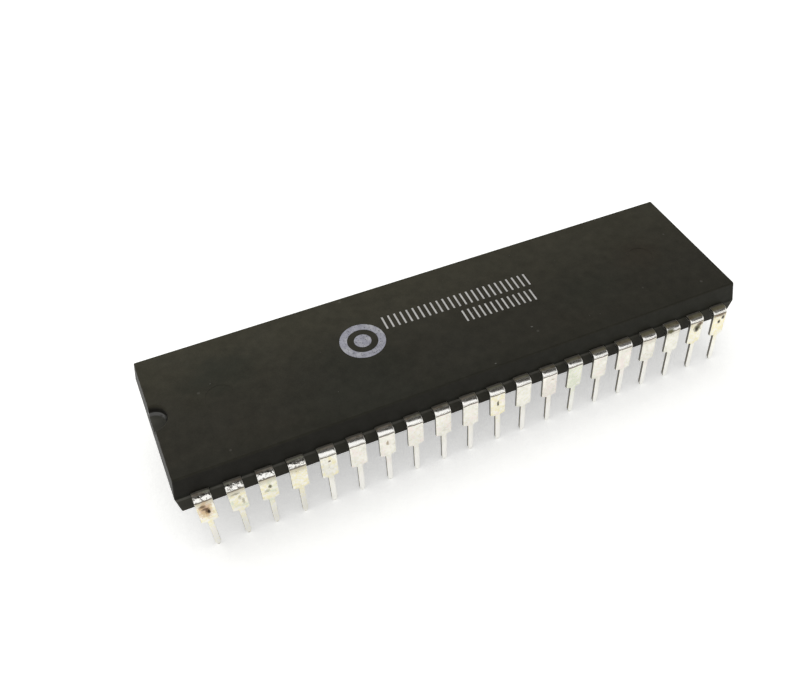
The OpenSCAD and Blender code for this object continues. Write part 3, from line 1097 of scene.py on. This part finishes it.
# %% [markdown]
# Dust and crumbs
#
# A few pale crumbs lie on the top. The speckle in the epoxy gives the finest dust, but larger
# grains cast a shadow and need to be real. Each is a small ball, squashed and dented, that rests
# on the top face, and all are one piece. The seed is fixed, so they fall in the same places each
# time.

# %% Crumbs
CRUMB_SEED = 41
CRUMB_COUNT = 14
SEEN_CRUMBS = [(6.52, -3.84, 0.17), (1.67, -6.35, 0.14), (-20.6, 1.6, 0.09)]


def add_crumb(mesh, rng, x, y, size):
    """Adds one dented grain that rests on the top face."""
    made = bmesh.ops.create_icosphere(mesh, subdivisions=2, radius=size / 2)["verts"]
    stretch = Vector((rng.uniform(0.8, 1.6), rng.uniform(0.7, 1.2), rng.uniform(0.4, 0.7)))
    turn = Euler((0, 0, rng.uniform(0, math.tau))).to_matrix()
    start = Vector((rng.uniform(0, 50), rng.uniform(0, 50), 0))
    lowest = 0.0
    for vertex in made:
        dent = 1 + 0.45 * noise.noise(vertex.co / size * 2 + start)
        vertex.co = turn @ (vertex.co * dent * stretch)
        lowest = min(lowest, vertex.co.z)
    for vertex in made:
        vertex.co += Vector((x, y, top_z - lowest * 0.7))


def make_crumbs():
    rng = random.Random(CRUMB_SEED)
    mesh = bmesh.new()
    for x, y, size in SEEN_CRUMBS:
        add_crumb(mesh, rng, x * MM, y * MM, size * MM)
    for _ in range(CRUMB_COUNT):
        x = rng.uniform(-0.97, 0.97) * half_length
        y = rng.uniform(-0.92, 0.92) * side_y
        add_crumb(mesh, rng, x, y, rng.uniform(0.03, 0.06) * MM)
    return to_object("dust_crumbs", mesh, smooth=True)


crumbs = make_crumbs()
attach(crumbs, "root")
print("crumb faces:", len(crumbs.data.polygons))

# %% [markdown]
# The crumbs are epoxy and paper dust, grey-brown and dry. Their finish is nothing but mottling and
# grain, and so are those of the glue and the gold further down, so one function makes all three.

# %% Crumb finish
DUST_GREYS = (rgb(0.14, 0.14, 0.12), rgb(0.09, 0.09, 0.08), rgb(0.18, 0.17, 0.15))


def make_plain(name, size, shades, grain_size, contrast, rough, depth, **plain):
    """A finish of mottling and grain alone."""
    material, shader, place = new_finish(name, **plain)
    colour, _, grain = dappled(place, size, shades, grain_size, contrast)
    paint(shader, colour, ease(grain["Height"], *rough))
    bump(shader, grain["Height"], depth)
    return material


dry = (0.2, 0.8, 0.75, 0.95)
pale_dust = make_plain("pale_dust", 0.05 * MM, DUST_GREYS, 0.03 * MM, 0.6, dry, 0.004 * MM,
                       Specular_IOR_Level=0.3)
crumbs.data.materials.append(pale_dust)
print("crumb nodes:", len(pale_dust.node_tree.nodes))

# %% [markdown]
# Metal inside the body
#
# Inside the moulding the strip of each lead is bare copper alloy, plated with silver at the finger
# end that takes the bond wire. The paddle is of the same sheet, and its tie bars were cut off at
# the ends of the body, where the cuts are dark. All this is sealed in, but the model can be taken
# apart, so it gets rolling lines, a dull bloom, and the plating as a mask by distance from the
# die.

# %% Lead strip and paddle
COPPERS = {"Main": rgb(0.72, 0.43, 0.28), "Second": rgb(0.62, 0.36, 0.22), "Third": rgb(0.66, 0.44, 0.30)}
SILVER = rgb(0.88, 0.87, 0.84)
RUBBED_COPPER = rgb(0.85, 0.62, 0.48)
CUT_COPPER = rgb(0.09, 0.065, 0.045)
PLATED_X = 4.6 * MM
PLATED_Y = 4.3 * MM


def copper(place):
    """Colour and height of bare rolled copper alloy."""
    along = vector_maths("MULTIPLY", place, (1.0, 14.0, 1.0))["Vector"]
    lines = noise_at(along, 0.9 * MM, detail=4.0, roughness=0.7)
    mottle = use(MOTTLE, Place=place, Size=0.8 * MM, **COPPERS)
    tone = ease(lines, 0.3, 0.7, 0.85, 1.1)
    return tint(1.0, mottle["Colour"], tone, "MULTIPLY"), lines


def make_strip():
    material, shader, place = new_finish("lead_strip", Metallic=1.0)
    colour, lines = copper(place)
    x, y, _ = split(place)
    out = maths("ABSOLUTE", y)
    along = maths("DIVIDE", maths("ABSOLUTE", x), PLATED_X)
    away = maths("MAXIMUM", along, maths("DIVIDE", out, PLATED_Y))
    colour = tint(ease(away, 1.02, 0.98), colour, SILVER)
    colour = tint(ease(out, side_y - 0.05 * MM, side_y), colour, CREAM)
    paint(shader, colour, ease(lines, 0.3, 0.7, 0.28, 0.42))
    bump(shader, lines, 0.002 * MM)
    return material


def make_paddle_finish():
    material, shader, place = new_finish("paddle_copper", Metallic=1.0)
    colour, lines = copper(place)
    wear = use(EDGE_WEAR, Place=place, Radius=0.05 * MM, Patch_size=0.6 * MM, Amount=0.5)
    colour = tint(wear["Mask"], colour, RUBBED_COPPER)
    along = maths("ABSOLUTE", split(place)[0])
    cut_end = ease(along, half_length - 0.4 * MM, half_length - 0.2 * MM)
    colour = tint(cut_end, colour, CUT_COPPER)
    paint(shader, colour, ease(lines, 0.3, 0.7, 0.3, 0.45))
    bump(shader, lines, 0.002 * MM)
    return material


strip_finish = make_strip()
paddle_finish = make_paddle_finish()
print("strip nodes:", len(strip_finish.node_tree.nodes))

# %% [markdown]
# The die and its bonds
#
# The die is a slice of silicon whose top holds blocks of circuitry under clear oxide, which gives
# soft interference colours. Blocks of a Voronoi pattern with square cells stand in for them. It
# is glued down with silver-filled epoxy and wired with bright drawn gold.

# %% Die, adhesive and wire
OXIDE = rgb(0.20, 0.22, 0.34)
SAWN_DARK = rgb(0.10, 0.10, 0.11)
SAWN_PALE = rgb(0.18, 0.18, 0.19)
GLUE_GREYS = (rgb(0.55, 0.55, 0.52), rgb(0.40, 0.40, 0.38), rgb(0.66, 0.66, 0.64))
GOLDS = (rgb(1.0, 0.72, 0.30), rgb(0.92, 0.63, 0.24), rgb(1.0, 0.78, 0.40))


def make_silicon():
    material, shader, place = new_finish("silicon_die", Metallic=0.4, Coat_Roughness=0.05)
    inputs = {"Vector": place, "Scale": 1 / (0.34 * MM), "Randomness": 0.75}
    blocks = put("ShaderNodeTexVoronoi", inputs, distance="CHEBYCHEV")
    hue = tint(0.75, blocks.outputs["Color"], OXIDE)
    tracks = ease(noise_at(place, 0.03 * MM), 0.48, 0.52, 0.8, 1.2)
    circuits = tint(1.0, hue, tracks, "MULTIPLY")
    cut = noise_at(place, 0.02 * MM, detail=3.0)
    sawn = tint(cut, SAWN_DARK, SAWN_PALE)
    _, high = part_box("die")
    on_top = ease(split(place)[2], high.z - 0.01 * MM, high.z - 0.004 * MM)
    paint(shader, tint(on_top, sawn, circuits), ease(on_top, 0.0, 1.0, 0.5, 0.18))
    bump(shader, maths("ADD", tracks, cut), 0.001 * MM)
    return material


silicon = make_silicon()
frosty = (0.3, 0.7, 0.4, 0.65)
drawn = (0.3, 0.7, 0.14, 0.26)
glue = make_plain("silver_epoxy", 0.06 * MM, GLUE_GREYS, 0.02 * MM, 0.6, frosty, 0.004 * MM,
                  Metallic=0.6)
gold = make_plain("gold_wire", 0.1 * MM, GOLDS, 0.012 * MM, 0.25, drawn, 0.0006 * MM, Metallic=1.0)
print("die nodes:", len(silicon.node_tree.nodes), "and the wire's:", len(gold.node_tree.nodes))

# %% [markdown]
# Putting the finishes on the frame
#
# A node of the frame keeps its mesh as it came. Only its list of materials is emptied and given
# the finish.

# %% Dress the nodes
finishes = {"body": EPOXY, "die_paddle": paddle_finish, "die_attach": glue, "die": silicon}
for name in nodes:
    if name.startswith("lead_"):
        finishes[name] = strip_finish
    elif name.startswith("bond_wires_"):
        finishes[name] = gold
for name, material in finishes.items():
    nodes[name].data.materials.clear()
    nodes[name].data.materials.append(material)
print("dressed nodes:", len(finishes), "of", len(nodes))

# %% [markdown]
# The floor
#
# The part stands on plain white paper, so bright that only its shadow shows. More light would burn
# out the leads, so part of what is seen of the paper, straight or in a reflection, is its own
# white, and the rest is lit, which keeps the soft shadow.

# %% Paper floor
FLOOR_REACH = 2.0
OWN_WHITE = 0.43
PAPER = rgb(0.93, 0.93, 0.90)
PAPER_FIBRE = rgb(1.0, 1.0, 0.975)


def seen_or_mirrored(tree):
    """A mask that is 1 where the camera or a reflection looks, and 0 for plain light."""
    path = tree.nodes.new("ShaderNodeLightPath").outputs
    mirrored = maths("MAXIMUM", path["Is Glossy Ray"], path["Is Transmission Ray"])
    return maths("MAXIMUM", path["Is Camera Ray"], mirrored)


def make_paper():
    look = {"Specular_IOR_Level": 0.0, "Roughness": 0.9}
    material, shader, place = new_finish("white_paper", **look)
    fibre = noise_at(place, 1.7 * MM, detail=6.0, roughness=0.7)
    feed(shader.inputs["Base Color"], tint(fibre, PAPER, PAPER_FIBRE))
    bump(shader, fibre, 0.12 * MM)
    tree = material.node_tree
    strength = times(seen_or_mirrored(tree), OWN_WHITE)
    white = put("ShaderNodeEmission", {"Strength": strength}).outputs[0]
    both = put("ShaderNodeAddShader", {0: shader.outputs[0], 1: white})
    feed(tree.nodes["Material Output"].inputs["Surface"], both.outputs[0])
    return material


def flat_sheet(name, corners, height):
    """A flat sheet with the given corners, at one height."""
    data = bpy.data.meshes.new(name)
    data.from_pydata([(x, y, height) for x, y in corners], [], [range(len(corners))])
    return add_object(name, data)


floor = flat_sheet("paper_floor", [(sx * FLOOR_REACH, sy * FLOOR_REACH) for sx, sy in CORNERS], 0)
floor.data.materials.append(make_paper())
print("floor:", 2 * FLOOR_REACH, "m wide")

# %% [markdown]
# Light
#
# One large soft lamp stands behind, above and a little to the left, as a window would, and a white
# sky fills the rest. The sky lights the part less than it shows, for the same reason as the paper:
# what is seen may be pure white, but the leads mustn't burn out.

# %% Sky and lamp
SKY_LEVEL = 0.64
LAMP_WATTS = 4.2
LAMP_PLACE = Vector((-0.15, 0.8, 0.9))
LAMP_SIZE = 1.1

world = bpy.data.worlds.new("white_room")
bpy.context.scene.world = world
world.use_nodes = True
sky = world.node_tree
level = ease(seen_or_mirrored(sky), 0.0, 1.0, SKY_LEVEL, 1.0)
feed(sky.nodes["Background"].inputs["Strength"], level)
sky.nodes["Background"].inputs["Color"].default_value = rgb(1.0, 1.0, 1.0)

lamp_data = bpy.data.lights.new("window", "AREA")
lamp_data.energy = LAMP_WATTS
lamp_data.size = LAMP_SIZE
lamp = add_object("window", lamp_data)
lamp.location = LAMP_PLACE
lamp.rotation_euler = (-LAMP_PLACE).to_track_quat("-Z", "Y").to_euler()
print("lamp:", LAMP_WATTS, "W at", round(LAMP_PLACE.length, 2), "m")

# %% [markdown]
# Something dark for the metal to mirror
#
# Solder in an all-white room looks like white paint. A real room has a dark horizon, which a bend
# squeezes into a thin dark line, and a ceiling that darkens what faces up, such as the flat stubs
# by the body. So a low grey wall stands all round and a grey beam lies overhead, cut slanting at
# the right, where the leads are seen from a flatter angle. Only reflections see them: they cast no
# shadow and take no light away.

# %% Dark horizon and beam
WALL_REACH = 0.5
WALL_HEIGHT = 0.05
WALL_SIDES = 48
BEAM_HEIGHT = 0.6
BEAM_NEAR = -0.12
BEAM_SLANT = -1.44
BEAM_FAR = 0.4
BEAM_REACH = 0.9
CARD_GREY = rgb(0.075, 0.070, 0.062)

wall_mesh = bmesh.new()
bmesh.ops.create_cone(wall_mesh, cap_ends=False, segments=WALL_SIDES, radius1=WALL_REACH,
                      radius2=WALL_REACH, depth=WALL_HEIGHT,
                      matrix=Matrix.Translation((0, 0, WALL_HEIGHT / 2)))
wall = to_object("dark_horizon", wall_mesh)
beam_corners = [
    (-BEAM_REACH, BEAM_NEAR),
    (0, BEAM_NEAR),
    (BEAM_REACH, BEAM_SLANT),
    (BEAM_REACH, BEAM_FAR),
    (-BEAM_REACH, BEAM_FAR),
]
beam = flat_sheet("ceiling_beam", beam_corners, BEAM_HEIGHT)
dark_finish = new_finish("dark_grey_card", Roughness=0.9, Base_Color=CARD_GREY)[0]
for card in (wall, beam):
    card.data.materials.append(dark_finish)
    card.visible_camera = False
    card.visible_diffuse = False
    card.visible_transmission = False
    card.visible_shadow = False
print("wall", WALL_HEIGHT, "m high, beam at", BEAM_HEIGHT, "m")

# %% [markdown]
# The camera
#
# The photograph was taken by hand from close by, high over the near left corner. Its place and
# turn were worked out from the corners of the body and the even spacing of the leads. So close a
# view has strong perspective, so the lens and the place belong together.

# %% Camera
CAMERA_PLACE = Vector((-24.87, -51.74, 64.93)) * MM
CAMERA_TURN = [math.radians(angle) for angle in (43.931, 0.625, -24.545)]
LENS = 41.197
SENSOR = 36.0
SHIFT_X = -0.0253

camera_data = bpy.data.cameras.new("camera")
camera_data.lens = LENS
camera_data.sensor_width = SENSOR
camera_data.sensor_fit = "HORIZONTAL"
camera_data.shift_x = SHIFT_X
camera_data.clip_start = 1 * MM
camera = add_object("camera", camera_data)
camera.location = CAMERA_PLACE
camera.rotation_euler = CAMERA_TURN
bpy.context.scene.camera = camera
bpy.context.scene.view_settings.view_transform = "Standard"
print("camera at", round(CAMERA_PLACE.length / MM, 1), "mm from the origin")
